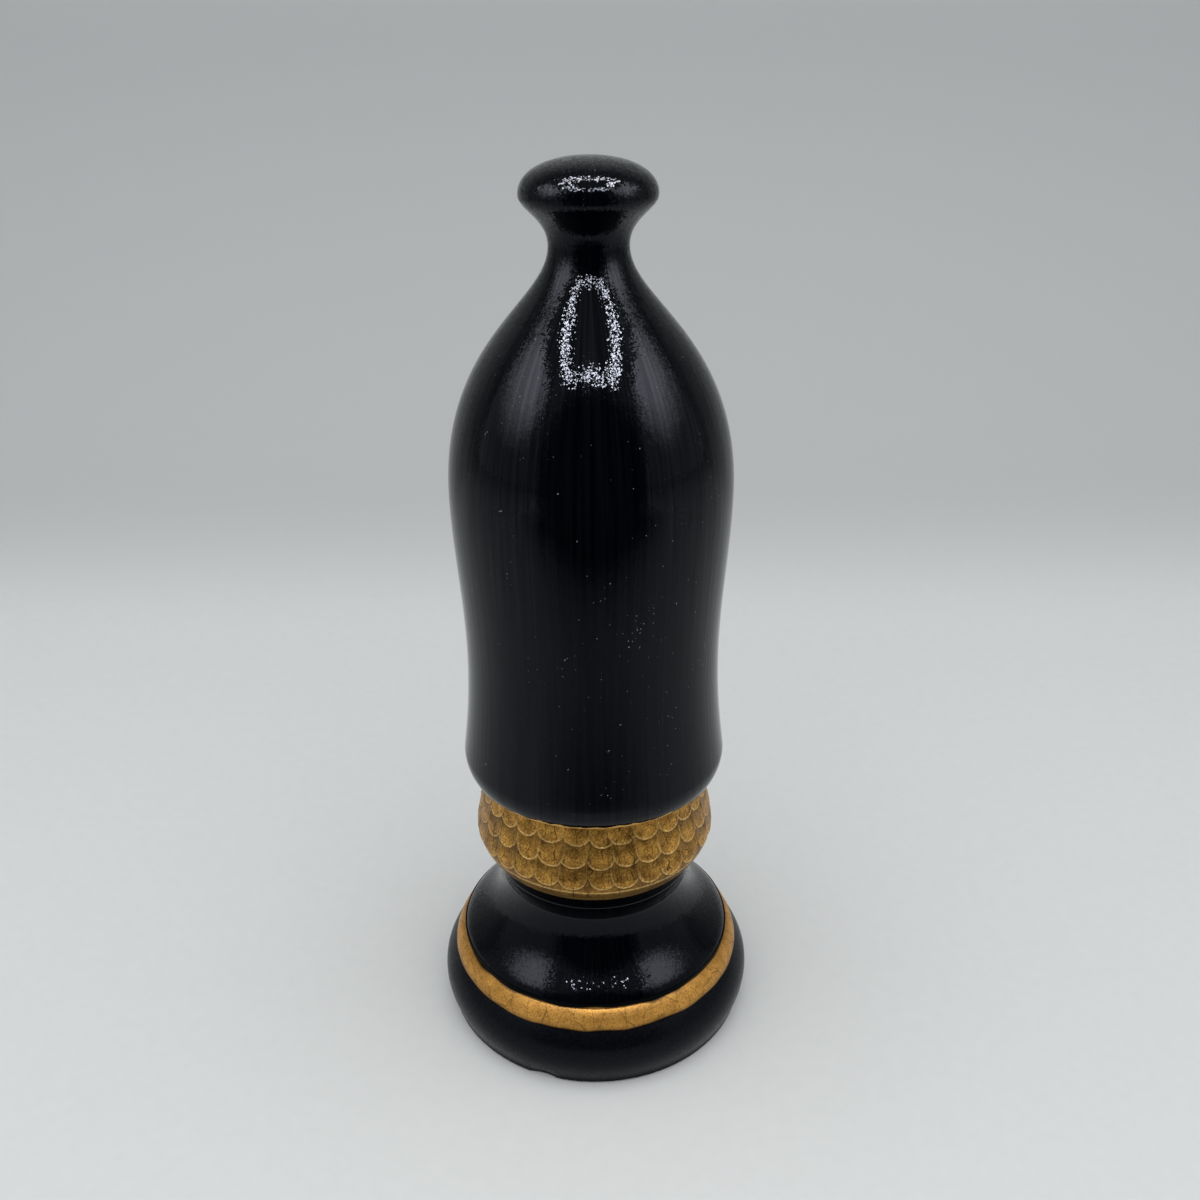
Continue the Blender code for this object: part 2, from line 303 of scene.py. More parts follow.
# %% [markdown]
# The lower edge of the foot has lost a chip, to the left of the front. The corners that lie in a
# small oval there are pushed in, the most at its middle.

# %% Knock a chip off the foot
CHIP_TURN = math.radians(-20)
CHIP_WIDTH = 2.8 * MM
CHIP_HEIGHT = 2.0 * MM
CHIP_DEPTH = 0.55 * MM

for corner in foot.data.vertices:
    radius = corner.co.xy.length
    across = radius * (math.atan2(corner.co.x, -corner.co.y) - CHIP_TURN) / CHIP_WIDTH
    up = (corner.co.z - foot_low.z) / CHIP_HEIGHT
    share = max(0.0, 1.0 - across ** 2 - up ** 2)
    if radius > felt_recess + WELD:
        corner.co.xy *= 1.0 - CHIP_DEPTH * share / radius
print(f"chip {CHIP_DEPTH / MM:.2f} mm deep on the lower edge of the foot")

# %% [markdown]
# ## The gold band
# The band is a low bead with gold paint that laps a little over the black above it. The lap was
# drawn by hand with a small brush, so its edge wanders. The piece carries a thin skin up the flare
# for it, and the finish of the band says where on that skin the gold ends.

# %% Model the band
BAND_CROWN = 0.6 * MM
LAP_SKIN = 0.05 * MM
LAP_WIDTH = 0.8 * MM
LAP_ROOT = 0.3 * MM
BEAD_EDGE = 0.30
BEAD_STEPS = 22

band_bore = flange + GLUE_GAP
bead_top = Vector((pedestal_high.x + LAP_SKIN, band_high.z))
bead_bottom = Vector((seat_edge[0] + LAP_SKIN, band_low.z))
down = bead_bottom - bead_top
outward = Vector((-down.y, down.x)).normalized() * BAND_CROWN
lap_top = (pedestal_high.x + 0.5 * LAP_SKIN, flare_foot[1] + LAP_WIDTH)
lap_root = pedestal_high.x - LAP_ROOT
bead_start = [(band_bore, band_high.z)]
band = turn("gilded_band", joined(
    bead_start,
    [(lap_root, band_high.z), (lap_root, lap_top[1]), lap_top],
    sweep(bead_top, outward + BEAD_EDGE * down, bead_bottom, outward - BEAD_EDGE * down, BEAD_STEPS),
    [(bead_bottom.x, foot_high.z), (band_bore, foot_high.z)],
    bead_start,
))

# %% [markdown]
# ## The skirt of scales
# The skirt is the pawn's finest work: three rows of scales, each with a thin raised rim, that
# overlap downwards, and sideways from the front to the back. A plain tube is far too coarse for
# that, so it is cut into a fine net, and each corner of the net is set out by the height of the
# scale that lies on top there.

# %% Cut a tube into a fine net
SKIRT_COLUMNS = 880
SKIRT_CUTS = 100
SKIRT_TOP_RADIUS = 20.6 * MM
SKIRT_RADIUS = 23.0 * MM
SKIRT_LIP_RADIUS = 21.0 * MM
SKIRT_BELLY_HEIGHT = 5.4 * MM

skirt_low, skirt_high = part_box("scale_skirt")
skirt_height = skirt_high.z - skirt_low.z
bpy.ops.object.select_all(action="DESELECT")
bpy.ops.mesh.primitive_cylinder_add(
    vertices=SKIRT_COLUMNS, radius=SKIRT_RADIUS, depth=skirt_height, end_fill_type="NOTHING",
    location=(0, 0, (skirt_low.z + skirt_high.z) / 2))
skirt = bpy.context.object
skirt.name = "gilded_skirt"
bpy.ops.object.transform_apply(location=True)
bpy.ops.object.mode_set(mode="EDIT")
bpy.ops.mesh.select_mode(type="EDGE")
bpy.ops.mesh.select_all(action="DESELECT")
bpy.ops.object.mode_set(mode="OBJECT")
for edge in skirt.data.edges:
    first, last = (skirt.data.vertices[i].co for i in edge.vertices)
    edge.select = abs(first.z - last.z) > skirt_height / 2
bpy.ops.object.mode_set(mode="EDIT")
bpy.ops.mesh.subdivide(number_cuts=SKIRT_CUTS)
bpy.ops.mesh.select_mode(type="VERT")
bpy.ops.object.mode_set(mode="OBJECT")
print(f"net of the skirt: {len(skirt.data.vertices)} corners")

# %% Lay out the scales
SCALE_COUNT = 29
SCALE_ROWS = 3
SCALE_PITCH = 4.3 * MM
SCALE_DEPTH = 3.2 * MM
SCALE_SPREAD = 1.15
SCALE_ROUNDNESS = 2.2
LOWEST_SCALE = 3.8 * MM
FIRST_SCALE = math.radians(2.4)
# How unlike each other the scales are: shares of the step, the width and the relief, and a length
STEP_SPREAD = 0.10
WIDTH_RANGE = (0.94, 1.08)
RELIEF_RANGE = (0.75, 1.2)
DROP_SPREAD = 0.22 * MM
chance = random.Random(29)


def lay_out_scales():
    """One list of scales for each row, top row first; each scale has its own place and size."""
    step = math.tau / SCALE_COUNT
    rows = []
    for row in reversed(range(SCALE_ROWS)):
        scales = []
        for i in range(SCALE_COUNT):
            column = i - SCALE_COUNT // 2 + chance.uniform(-STEP_SPREAD, STEP_SPREAD)
            scales.append({
                "turn": FIRST_SCALE + step * column,
                "half_width": 0.5 * step * SCALE_SPREAD * chance.uniform(*WIDTH_RANGE),
                "bottom": LOWEST_SCALE + row * SCALE_PITCH + chance.uniform(-DROP_SPREAD, DROP_SPREAD),
                "relief": chance.uniform(*RELIEF_RANGE),
            })
        scales.sort(key=lambda scale: -abs(scale["turn"]))
        rows.append(scales)
    return rows


scale_rows = lay_out_scales()
print(f"{SCALE_ROWS} rows of {SCALE_COUNT} scales")

# %% Helpers for the scales
SCALE_TILT = 0.22 * MM
TILT_LENGTH = 3.4 * MM
PILLOW = 0.35
RIM_RELIEF = 0.10 * MM
RIM_WIDTH = 0.45 * MM
FLANK_FADE = 0.75
# How far below an overlapping edge the brown wash and the painted shade reach
WASH_AND_SHADE_WIDTH = 2.6 * MM
LIP_RIM_HEIGHT = 2.95 * MM
LIP_EDGE_HEIGHT = 0.9 * MM
LIP_WASH_AND_SHADE = 0.8
LIP_TAPER = 2.6
LIP_LINE_SHARE = 0.6
LIP_EDGE_SHARE = 0.7
WIDEST = 0.998


def skirt_radius(height):
    """The plain skirt, without its scales, at a height above its underside."""
    if height >= SKIRT_BELLY_HEIGHT:
        share = (height - SKIRT_BELLY_HEIGHT) / (skirt_height - SKIRT_BELLY_HEIGHT)
        return SKIRT_RADIUS + (SKIRT_TOP_RADIUS - SKIRT_RADIUS) * share
    share = 1.0 - height / SKIRT_BELLY_HEIGHT
    return SKIRT_RADIUS + (SKIRT_LIP_RADIUS - SKIRT_RADIUS) * share ** LIP_TAPER


def apart(scale, turn_here):
    """How far a place is turned away from the middle of a scale, as a share of its half width."""
    turned = (turn_here - scale["turn"] + math.pi) % math.tau - math.pi
    return abs(turned) / scale["half_width"]


@functools.cache
def scales_across(turn_here):
    """The scales that one upright line crosses, the one on top first."""
    return [scale for scales in scale_rows for scale in scales if apart(scale, turn_here) < 1.0]


def inside_edge(scale, turn_here, height):
    """How far a place lies inside a scale's round lower edge, or less than 0 outside of it."""
    across = min(apart(scale, turn_here), WIDEST)
    fall = 1.0 - across ** SCALE_ROUNDNESS
    rise = SCALE_DEPTH * (1.0 - fall ** (1.0 / SCALE_ROUNDNESS))
    slope = SCALE_DEPTH * (across / fall) ** (SCALE_ROUNDNESS - 1.0) * fall ** (1.0 / SCALE_ROUNDNESS)
    steepness = slope / (scale["half_width"] * SKIRT_RADIUS)
    return (height - scale["bottom"] - rise) / math.hypot(1.0, steepness)


def lip_line(height, middle):
    """The share of a raised line round the plain lip: 1 on its middle, 0 beside it."""
    return max(0.0, 1.0 - abs(height - middle) / (LIP_LINE_SHARE * RIM_WIDTH))


def relief(turn_here, height):
    """The rise of the skirt's surface, and its shares of raised rim and of brown wash with painted shade,
    from 0 to 1.
    """
    beside = WASH_AND_SHADE_WIDTH
    for scale in scales_across(turn_here):
        depth = inside_edge(scale, turn_here, height)
        if depth > 0.0:
            flank = apart(scale, turn_here) ** 2
            rim = math.sin(math.pi * min(depth / RIM_WIDTH, 1.0)) * (1.0 - FLANK_FADE * flank)
            tilt = (1.0 - min(depth / TILT_LENGTH, 1.0) ** 2) * (1.0 - PILLOW * flank)
            rise = scale["relief"] * (SCALE_TILT * tilt + RIM_RELIEF * rim)
            return rise, rim, 1.0 - beside / WASH_AND_SHADE_WIDTH
        beside = min(beside, -depth)
    rim = max(lip_line(height, LIP_RIM_HEIGHT), LIP_EDGE_SHARE * lip_line(height, LIP_EDGE_HEIGHT))
    # The lip and the gold just below an overlapping edge get brown wash together with painted shade
    wash_and_shade = LIP_WASH_AND_SHADE if height < LIP_RIM_HEIGHT else 1.0 - beside / WASH_AND_SHADE_WIDTH
    return LIP_LINE_SHARE * RIM_RELIEF * rim, rim, wash_and_shade


# %% Raise the scales
rims = skirt.data.attributes.new("rim", "FLOAT", "POINT")
wash_and_shade_values = skirt.data.attributes.new("wash_and_shade", "FLOAT", "POINT")
for corner, rim_here, wash_and_shade_here in zip(skirt.data.vertices, rims.data, wash_and_shade_values.data):
    turn_here = round(math.atan2(corner.co.x, -corner.co.y), 5)
    height_here = min(max(corner.co.z - skirt_low.z, 0.0), skirt_height)
    rise_here, rim_here.value, wash_and_shade_here.value = relief(turn_here, height_here)
    radius_here = skirt_radius(height_here) + rise_here
    corner.co.x = radius_here * math.sin(turn_here)
    corner.co.y = -radius_here * math.cos(turn_here)
print(f"rims reach {max(c.co.xy.length for c in skirt.data.vertices) / MM:.2f} mm from the axis")

# %% [markdown]
# The net is only a skin. Its two open edges are extruded inwards to the drum, and the inner
# wall is bridged between them, so that the skirt is a closed ring.

# %% Close the skirt
SKIRT_BORE = DRUM_BORE


def select_corners(piece, is_wanted):
    """Select only the corners of a piece whose place passes a test, and stay in edit mode."""
    bpy.ops.object.mode_set(mode="EDIT")
    bpy.ops.mesh.select_all(action="DESELECT")
    bpy.ops.object.mode_set(mode="OBJECT")
    for corner in piece.data.vertices:
        corner.select = is_wanted(corner.co)
    bpy.ops.object.mode_set(mode="EDIT")


for level in (skirt_low.z, skirt_high.z):
    select_corners(skirt, lambda spot: abs(spot.z - level) < WELD)
    bpy.ops.mesh.extrude_region_move()
    bpy.ops.object.mode_set(mode="OBJECT")
    for corner in skirt.data.vertices:
        if corner.select:
            corner.co.xy = corner.co.xy.normalized() * SKIRT_BORE
select_corners(skirt, lambda spot: spot.xy.length < SKIRT_BORE + WELD)
bpy.ops.mesh.bridge_edge_loops()
bpy.ops.object.mode_set(mode="OBJECT")
weld_and_smooth(skirt)

# %% [markdown]
# ## The felt
# The pawn stands on a disc of green felt. A disc cut from felt has a soft edge, so a cylinder
# gets rounded rims with Bevel.

# %% Model the felt disc
FELT_EDGE = 0.35 * MM
FELT_SIDES = 96
FELT_EDGE_STEPS = 3

bpy.ops.object.select_all(action="DESELECT")
bpy.ops.mesh.primitive_cylinder_add(
    vertices=FELT_SIDES, radius=felt_high.x, depth=felt_high.z - felt_low.z,
    location=(0, 0, (felt_low.z + felt_high.z) / 2))
felt = bpy.context.object
felt.name = "felt_disc"
bpy.ops.object.transform_apply(location=True)
bpy.ops.object.mode_set(mode="EDIT")
bpy.ops.mesh.select_all(action="SELECT")
bpy.ops.mesh.bevel(offset=FELT_EDGE, segments=FELT_EDGE_STEPS, affect="EDGES")
bpy.ops.object.mode_set(mode="OBJECT")
weld_and_smooth(felt)

# %% [markdown]
# ## Finishes
# A finish is a small net of nodes that feeds one shader. Colours are written as they look on a
# screen, so one function turns them into the linear values that Blender works in. A second one
# adds a node, sets its sockets and links them. All patterns follow the object coordinates, in
# metres, so a grain of one millimetre has a scale of one over a millimetre.

# %% Helpers for finishes
# A Mix node's sockets are found by number: two values, then two colours and their result
MIX_FIRST_VALUE, MIX_SECOND_VALUE = 2, 3
MIX_FIRST, MIX_SECOND, MIX_RESULT = 6, 7, 2


def linear(code):
    """An sRGB hex colour as linear red, green, blue and alpha."""
    values = [int(code[i:i + 2], 16) / 255 for i in (1, 3, 5)]
    return [v / 12.92 if v <= 0.04045 else ((v + 0.055) / 1.055) ** 2.4 for v in values] + [1.0]


def add(finish, kind, links=None, **settings):
    """Add a node to a finish, with its settings, and with its sockets set or linked."""
    made = finish.node_tree.nodes.new("ShaderNode" + kind)
    for name, value in settings.items():
        setattr(made, name, value)
    for socket, value in (links or {}).items():
        if isinstance(value, bpy.types.NodeSocket):
            finish.node_tree.links.new(value, made.inputs[socket])
        else:
            made.inputs[socket].default_value = value
    return made


def new_finish(name, roughness, metallic=0.0):
    """An empty finish with its shader, and the object coordinates that its patterns follow."""
    finish = bpy.data.materials.new(name)
    finish.use_nodes = True
    shader = finish.node_tree.nodes["Principled BSDF"]
    shader.inputs["Roughness"].default_value = roughness
    shader.inputs["Metallic"].default_value = metallic
    place = add(finish, "TexCoord").outputs["Object"]
    return finish, shader, place


def join(finish, shader, **sockets):
    """Link the ends of a net of nodes to the shader's sockets."""
    for socket, end in sockets.items():
        finish.node_tree.links.new(end, shader.inputs[socket.replace("_", " ")])
    print(f"{finish.name}: {len(finish.node_tree.nodes)} nodes")


# %% [markdown]
# ### Brushed black gloss
# The cloak and the pedestal carry a black gloss that was brushed on in several coats. It is
# almost black, with the sharp shine of glass. The brush left fine upright marks in it, the coats
# dried with ripples and with an orange peel that breaks the shine up into dots, and dust and
# fibres have settled on it. The marks are a noise stretched along the axis. The peel is a mosaic
# of tiny facets, each of which leans its own way, and the dust is a sparse set of spots.

# %% Brush on the black gloss
BODY_RADIUS = 20 * MM
BRUSH_MARK = 0.55 * MM
BRUSH_LENGTH = 26 * MM

glaze, shader, place = new_finish("brushed_black_gloss_glaze", 0.06)
shader.inputs["IOR"].default_value = 1.25
shader.inputs["Specular Tint"].default_value = linear("#E9EEFF")
flattened = add(glaze, "VectorMath", {0: place, 1: (1, 1, 0)}, operation="MULTIPLY").outputs[0]
round_axis = add(glaze, "VectorMath", {0: flattened}, operation="NORMALIZE").outputs[0]
along_brush = add(glaze, "VectorMath", {
    0: place, 1: (0, 0, BRUSH_MARK / BRUSH_LENGTH / BODY_RADIUS), 2: round_axis},
    operation="MULTIPLY_ADD").outputs[0]
marks = add(glaze, "TexNoise", {
    "Vector": along_brush, "Scale": BODY_RADIUS / BRUSH_MARK, "Detail": 4.0}).outputs[0]
height = add(glaze, "SeparateXYZ", {"Vector": place}).outputs["Z"]
on_cloak = add(glaze, "Math", {
    0: height, 1: cloak_low.z - MM}, operation="GREATER_THAN").outputs[0]
print(f"brush marks {BRUSH_MARK / MM:.2f} mm wide and {BRUSH_LENGTH / MM:.0f} mm long")

# %% Let dust and fibres settle on the gloss
DUST_SPACING = 0.72 * MM
DUST_CLUSTER = 14 * MM
# Half the width of the largest speck and of a fibre, as shares of their spacing
LARGEST_SPECK = 0.088
LINT_WIDTH = 0.03
LINT_SPACING = 1.2 * MM
LINT_STRETCH = 16.0
LINT_BEND = 1.2 * MM
LINT_TILT = (0.2, 0.9, 0.0)

cluster = add(glaze, "TexNoise", {
    "Vector": place, "Scale": 1 / DUST_CLUSTER, "Detail": 2.0}).outputs[0]
dust = add(glaze, "TexVoronoi", {"Vector": place, "Scale": 1 / DUST_SPACING})
speck_pick = add(glaze, "SeparateColor", {"Color": dust.outputs["Color"]}).outputs["Red"]
speck_size = add(glaze, "MapRange", {
    "Value": speck_pick, "From Min": 0.5, "To Max": LARGEST_SPECK}).outputs[0]
speck_share = add(glaze, "MapRange", {
    "Value": cluster, "From Min": 0.42, "From Max": 0.62, "To Min": 0.3}).outputs[0]
speck_size = add(glaze, "Math", {
    0: speck_size, 1: speck_share}, operation="MULTIPLY").outputs[0]
specks = add(glaze, "Math", {
    0: dust.outputs["Distance"], 1: speck_size}, operation="LESS_THAN").outputs[0]
bends = add(glaze, "TexNoise", {"Vector": place, "Scale": 1 / LINT_SPACING}).outputs["Color"]
bent = add(glaze, "VectorMath", {
    0: bends, 1: (LINT_BEND, LINT_BEND, LINT_BEND), 2: place}, operation="MULTIPLY_ADD").outputs[0]
slanting = add(glaze, "Mapping", {
    "Vector": bent, "Rotation": LINT_TILT, "Scale": (1, 1, LINT_STRETCH)},
    vector_type="TEXTURE").outputs[0]
lint = add(glaze, "TexVoronoi", {"Vector": slanting, "Scale": 1 / LINT_SPACING})
fibres = add(glaze, "Math", {
    0: lint.outputs["Distance"], 1: LINT_WIDTH}, operation="LESS_THAN").outputs[0]
dirt = add(glaze, "Math", {0: specks, 1: fibres}, operation="MAXIMUM").outputs[0]
print(f"specks up to {2 * LARGEST_SPECK * DUST_SPACING / MM:.2f} mm across")

# %% Drag a trail of dust across the front
TRAIL_MIDDLE = Vector((7.0, -22.3, 93.0)) * MM
TRAIL_ACROSS = Vector((0.82, 0.0, -0.572))
TRAIL_REACH = 12 * MM
TRAIL_WIDTH = 0.6 * MM
TRAIL_SPACING = 0.5 * MM
TRAIL_SPECK = 0.21

across_trail = add(glaze, "VectorMath", {
    0: place, 1: TRAIL_ACROSS}, operation="DOT_PRODUCT").outputs["Value"]
on_line = add(glaze, "Math", {
    0: across_trail, 1: TRAIL_MIDDLE.dot(TRAIL_ACROSS), 2: TRAIL_WIDTH}, operation="COMPARE").outputs[0]
along_trail = add(glaze, "VectorMath", {
    0: place, 1: TRAIL_MIDDLE}, operation="DISTANCE").outputs["Value"]
trail_share = add(glaze, "MapRange", {
    "Value": along_trail, "From Max": TRAIL_REACH, "To Min": TRAIL_SPECK, "To Max": 0.0}).outputs[0]
trail_dust = add(glaze, "TexVoronoi", {"Vector": place, "Scale": 1 / TRAIL_SPACING})
trail_pick = add(glaze, "SeparateColor", {"Color": trail_dust.outputs["Color"]}).outputs["Red"]
trail_size = add(glaze, "Math", {0: trail_share, 1: on_line}, operation="MULTIPLY").outputs[0]
trail_size = add(glaze, "Math", {0: trail_size, 1: trail_pick}, operation="MULTIPLY").outputs[0]
trail = add(glaze, "Math", {
    0: trail_dust.outputs["Distance"], 1: trail_size}, operation="LESS_THAN").outputs[0]
dirt = add(glaze, "Math", {0: dirt, 1: trail}, operation="MAXIMUM").outputs[0]
dirt = add(glaze, "Math", {0: dirt, 1: on_cloak}, operation="MULTIPLY").outputs[0]
print(f"trail of dust {2 * TRAIL_REACH / MM:.0f} mm long")

# %% Give the gloss its colour and its shine
brushed = add(glaze, "MapRange", {"Value": marks, "From Min": 0.4, "From Max": 0.7}).outputs[0]
black = add(glaze, "Mix", {
    0: brushed, MIX_FIRST: linear("#010204"), MIX_SECOND: linear("#06070B")},
    data_type="RGBA").outputs[MIX_RESULT]
dusty = add(glaze, "Mix", {
    0: dirt, MIX_FIRST: black, MIX_SECOND: linear("#C2C4C6")}, data_type="RGBA").outputs[MIX_RESULT]
gloss = add(glaze, "MapRange", {
    "Value": marks, "From Min": 0.4, "From Max": 0.75, "To Min": 0.02, "To Max": 0.10}).outputs[0]
print(f"coloured gloss: {len(glaze.node_tree.nodes)} nodes so far")

# %% Give the gloss its marks, ripples and peel
BRUSH_DEPTH = 0.04 * MM
RIPPLE_GRAIN = 1.3 * MM
RIPPLE_DEPTH = 0.03 * MM
# The real peel is finer than a pixel of the picture, so it is drawn as coarse as one
PEEL_GRAIN = 0.23 * MM
PEEL_TILT = (0.013, 0.169)
# How far from the waist the marks begin and end to fade, and the ripples and the peel to grow
MARKS_FADE = (10 * MM, 45 * MM)
RIPPLES_GROW = (12 * MM, 40 * MM)
PEEL_GROWS = (30 * MM, 90 * MM)

above_waist = add(glaze, "Math", {0: height, 1: waist[1]}, operation="SUBTRACT").outputs[0]
from_waist = add(glaze, "Math", {0: above_waist}, operation="ABSOLUTE").outputs[0]
brush_strength = add(glaze, "MapRange", {
    "Value": from_waist, "From Min": MARKS_FADE[0], "From Max": MARKS_FADE[1],
    "To Min": 1.0, "To Max": 0.25}).outputs[0]
ripple_strength = add(glaze, "MapRange", {
    "Value": from_waist, "From Min": RIPPLES_GROW[0], "From Max": RIPPLES_GROW[1],
    "To Min": 0.1}).outputs[0]
peel_tilt = add(glaze, "MapRange", {
    "Value": from_waist, "From Min": PEEL_GROWS[0], "From Max": PEEL_GROWS[1],
    "To Min": PEEL_TILT[0], "To Max": PEEL_TILT[1]}, interpolation_type="SMOOTHSTEP").outputs[0]
ripple = add(glaze, "TexNoise", {
    "Vector": place, "Scale": 1 / RIPPLE_GRAIN, "Detail": 2.0}).outputs[0]
marked = add(glaze, "Bump", {
    "Height": marks, "Strength": brush_strength, "Distance": BRUSH_DEPTH}).outputs[0]
rippled = add(glaze, "Bump", {
    "Height": ripple, "Normal": marked, "Strength": ripple_strength, "Distance": RIPPLE_DEPTH}).outputs[0]
facets = add(glaze, "TexVoronoi", {"Vector": place, "Scale": 1 / PEEL_GRAIN}).outputs["Color"]
lean = add(glaze, "VectorMath", {0: facets, 1: (0.5, 0.5, 0.5)}, operation="SUBTRACT").outputs[0]
lean = add(glaze, "VectorMath", {0: lean, "Scale": peel_tilt}, operation="SCALE").outputs[0]
leaning = add(glaze, "VectorMath", {0: lean, 1: rippled}, operation="ADD").outputs[0]
skin = add(glaze, "VectorMath", {0: leaning}, operation="NORMALIZE").outputs[0]
streak_share = add(glaze, "Math", {
    0: ripple_strength, 1: on_cloak}, operation="MULTIPLY").outputs[0]
streaks = add(glaze, "Mix", {
    0: streak_share, MIX_FIRST_VALUE: 0.5, MIX_SECOND_VALUE: marks}).outputs[0]
sheen = add(glaze, "MapRange", {
    "Value": streaks, "From Min": 0.35, "From Max": 0.65, "To Min": 0.37, "To Max": 0.63}).outputs[0]
print(f"peel of {PEEL_GRAIN / MM:.2f} mm facets on ripples of {RIPPLE_GRAIN / MM:.1f} mm")

# %% Let the gold of the skirt creep onto the hem, lightened as a painted highlight
HEM_LAP_WAVE = 1.8 * MM
HEM_LAP = (0.4 * MM, 1.15 * MM)

creep = add(glaze, "TexNoise", {
    "Vector": place, "Scale": 1 / HEM_LAP_WAVE, "Detail": 3.0}).outputs[0]
creep_height = add(glaze, "MapRange", {
    "Value": creep, "From Min": 0.3, "From Max": 0.7,
    "To Min": cloak_low.z + HEM_LAP[0], "To Max": cloak_low.z + HEM_LAP[1]}).outputs[0]
below = add(glaze, "Math", {0: height, 1: creep_height}, operation="LESS_THAN").outputs[0]
gold_and_highlight_on_hem = add(glaze, "Math", {0: below, 1: on_cloak}, operation="MULTIPLY").outputs[0]
# The creeping gold is a light gold: a paint lap with a painted highlight, as it lies in the shade under
# the hem
colour = add(glaze, "Mix", {
    0: gold_and_highlight_on_hem, MIX_FIRST: dusty, MIX_SECOND: linear("#CDA25E")}, data_type="RGBA").outputs[MIX_RESULT]
join(glaze, shader, Base_Color=colour, Roughness=gloss, Normal=skin, Specular_IOR_Level=sheen)

# %% [markdown]
# ### Black satin
# The foot has the same black, rubbed by hands and tables to a satin. Its shine is wide and soft.

# %% Make the black satin
RUB_GRAIN = 0.6 * MM
RUB_DEPTH = 0.02 * MM

black_satin, shader, place = new_finish("black_satin_glaze", 0.28)
shader.inputs["IOR"].default_value = 1.21
shader.inputs["Specular Tint"].default_value = linear("#E9EEFF")
rub = add(black_satin, "TexNoise", {"Vector": place, "Scale": 1 / RUB_GRAIN, "Detail": 4.0}).outputs[0]
colour = add(black_satin, "Mix", {
    0: rub, MIX_FIRST: linear("#030408"), MIX_SECOND: linear("#08090D")},
    data_type="RGBA").outputs[MIX_RESULT]
gloss = add(black_satin, "MapRange", {
    "Value": rub, "From Min": 0.3, "From Max": 0.7, "To Min": 0.22, "To Max": 0.36}).outputs[0]
skin = add(black_satin, "Bump", {"Height": rub, "Strength": 0.3, "Distance": RUB_DEPTH}).outputs[0]
join(black_satin, shader, Base_Color=colour, Roughness=gloss, Normal=skin)

# %% [markdown]
# ### Antiqued gold
# The scales were painted gold, then washed with brown that was wiped off again. The wash stays in the
# grooves, and there painted shade darkens it further below each overlapping edge and on the lip. The rims
# are rubbed bright and also carry a painted highlight. The rim values and the wash and shade values that
# were stored while the scales were raised drive this, with blotches from the brush and upright hairline
# cracks.

# %% Paint the scales gold
BLOTCH = 2.2 * MM
BLOTCH_DEPTH = 0.12 * MM
# The real flakes are a tenth of a millimetre, too fine to show, so they are drawn coarser
FLAKE = 0.35 * MM
FLAKE_DEPTH = 0.05 * MM

old_gold, shader, place = new_finish("antiqued_gold_paint", 0.40, 0.72)
shader.inputs["Specular IOR Level"].default_value = 0.25
blotch = add(old_gold, "TexNoise", {
    "Vector": place, "Scale": 1 / BLOTCH, "Detail": 5.0}).outputs[0]
flakes = add(old_gold, "TexNoise", {"Vector": place, "Scale": 1 / FLAKE, "Detail": 2.0}).outputs[0]
worn = add(old_gold, "MapRange", {"Value": blotch, "From Min": 0.32, "From Max": 0.68}).outputs[0]
body = add(old_gold, "Mix", {
    0: worn, MIX_FIRST: linear("#7E5822"), MIX_SECOND: linear("#D09C48")},
    data_type="RGBA").outputs[MIX_RESULT]
# Painted glints: in small spots picked by the flakes the gold is lightened, as if they catch the light
painted_glint = add(old_gold, "MapRange", {
    "Value": flakes, "From Min": 0.30, "From Max": 0.44, "To Min": 0.45, "To Max": 0.0}).outputs[0]
with_painted_glints = add(old_gold, "Mix", {
    0: painted_glint, MIX_FIRST: body, MIX_SECOND: linear("#F6C870")}, data_type="RGBA").outputs[MIX_RESULT]
speckle = add(old_gold, "MapRange", {
    "Value": flakes, "From Min": 0.50, "From Max": 0.68, "To Max": 0.75}).outputs[0]
speckled = add(old_gold, "Mix", {
    0: speckle, MIX_FIRST: with_painted_glints, MIX_SECOND: linear("#5A3E18")}, data_type="RGBA").outputs[MIX_RESULT]
skin = add(old_gold, "Bump", {
    "Height": blotch, "Strength": 0.6, "Distance": BLOTCH_DEPTH}).outputs[0]
skin = add(old_gold, "Bump", {
    "Height": flakes, "Normal": skin, "Strength": 0.8, "Distance": FLAKE_DEPTH}).outputs[0]
print(f"flakes of {FLAKE / MM:.2f} mm, blotches of {BLOTCH / MM:.1f} mm")

# %% Darken the grooves with wash and painted shade, and lighten the rims by rubbing and a painted highlight
rim = add(old_gold, "Attribute", attribute_name="rim").outputs["Fac"]
wash_and_shade = add(old_gold, "Attribute", attribute_name="wash_and_shade").outputs["Fac"]
# Wash and painted shade: dark brown below the overlapping edges and on the lip
wash_and_shade_share = add(old_gold, "Math", {0: wash_and_shade, 1: 1.2}, operation="POWER").outputs[0]
wash_and_shade_share = add(old_gold, "MapRange", {"Value": wash_and_shade_share, "To Max": 0.7}).outputs[0]
washed_and_shaded = add(old_gold, "Mix", {
    0: wash_and_shade_share, MIX_FIRST: speckled, MIX_SECOND: linear("#46300F")}, data_type="RGBA").outputs[MIX_RESULT]
# The rims are lighter: rubbed gold together with a painted highlight
rubbed_rim_highlight = add(old_gold, "MapRange", {
    "Value": flakes, "From Min": 0.35, "From Max": 0.60, "To Min": 1.0, "To Max": 0.45}).outputs[0]
rubbed_and_highlight_share = add(old_gold, "Math", {0: rim, 1: rubbed_rim_highlight}, operation="MULTIPLY").outputs[0]
rubbed_and_highlighted = add(old_gold, "Mix", {
    0: rubbed_and_highlight_share, MIX_FIRST: washed_and_shaded, MIX_SECOND: linear("#F0CB84")},
    data_type="RGBA").outputs[MIX_RESULT]
print(f"washed and rubbed gold: {len(old_gold.node_tree.nodes)} nodes so far")

# %% Crack the gold
CRACK_SPACING = 2.6 * MM
CRACK_RADIUS = 20 * MM
CRACK_WANDER = 2.5 * MM
CRACK_LENGTH = 2.5 * MM

